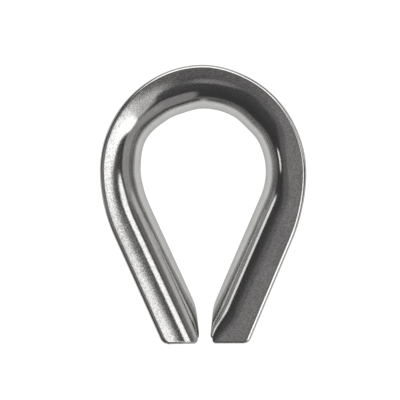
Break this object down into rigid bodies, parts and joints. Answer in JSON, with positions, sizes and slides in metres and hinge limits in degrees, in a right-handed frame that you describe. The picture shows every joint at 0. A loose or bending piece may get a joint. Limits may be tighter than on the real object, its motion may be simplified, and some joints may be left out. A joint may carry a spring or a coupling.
{
  "type": "wire rope thimble",
  "caption": "Heart-shaped wire rope thimble: a strip of sheet steel with an outward groove that guides a rope round an eye and guards it from wear.",
  "frame": {"origin": "on the rest plane, under the middle of the overall width and length", "axes": "+Z along the eye's axis, up from the flange it lies on; +Y from the cut ends to the crown; +X across the eye"},
  "size_m": [0.033, 0.0444, 0.0109],
  "materials": {
    "stainless_steel": "bright pressed stainless steel, glossy at the throat and fine-grained on the flanges"
  },
  "bodies": {
    "root": {"thimble_strip": "stainless_steel"}
  },
  "joints": []
}
